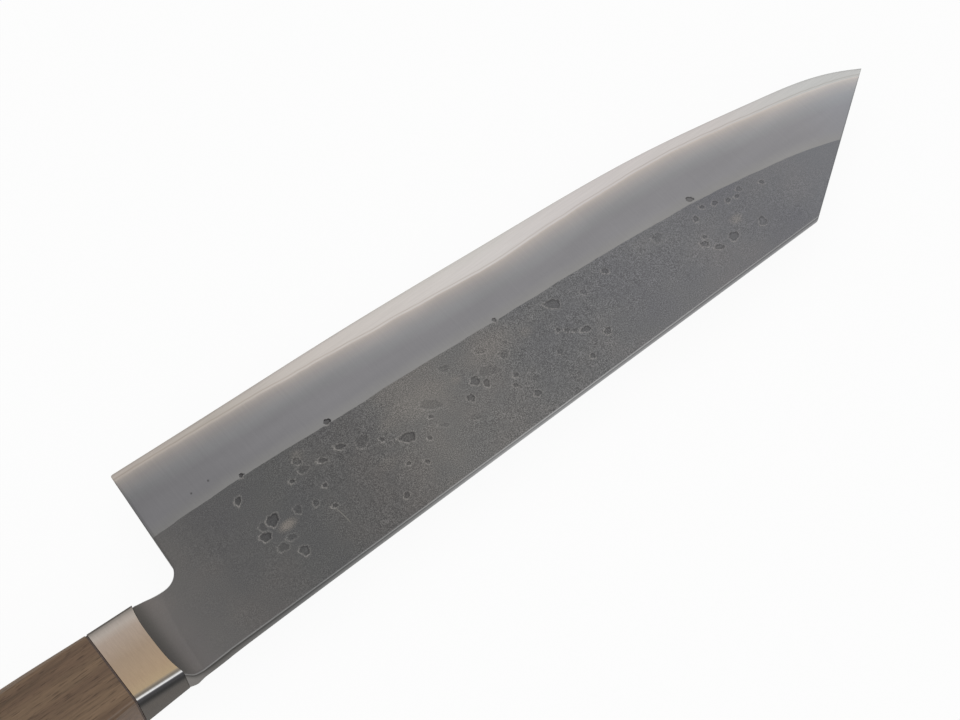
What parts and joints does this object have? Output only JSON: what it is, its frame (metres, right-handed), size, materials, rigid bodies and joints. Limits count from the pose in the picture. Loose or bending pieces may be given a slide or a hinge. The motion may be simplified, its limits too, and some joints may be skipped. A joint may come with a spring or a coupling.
{
  "type": "kiritsuke kitchen knife",
  "caption": "Kiritsuke kitchen knife: three-layer steel blade with a wide ground bevel and angled tip, metal ferrule and octagonal wooden handle.",
  "frame": {"origin": "bottom centre of the whole knife's box, with the knife lying on its right side", "axes": "+X towards the tip, +Y towards the cutting edge, +Z out of the left side of the blade"},
  "size_m": [0.3486, 0.0528, 0.0195],
  "materials": {
    "hard_steel": "ground along the blade",
    "soft_steel": "pitted forge skin above a ground bevel",
    "polished_metal": "polished",
    "fibre": "vulcanised fibre",
    "walnut": "oiled walnut",
    "dowel_wood": "plain hardwood",
    "resin": "clear amber resin"
  },
  "bodies": {
    "root": {"core_steel": "hard_steel", "cladding_left": "soft_steel", "cladding_right": "soft_steel", "ferrule": "polished_metal", "fibre_liner": "fibre", "handle_body": "walnut", "tang_dowel": "dowel_wood", "resin_bedding": "resin"}
  },
  "joints": []
}
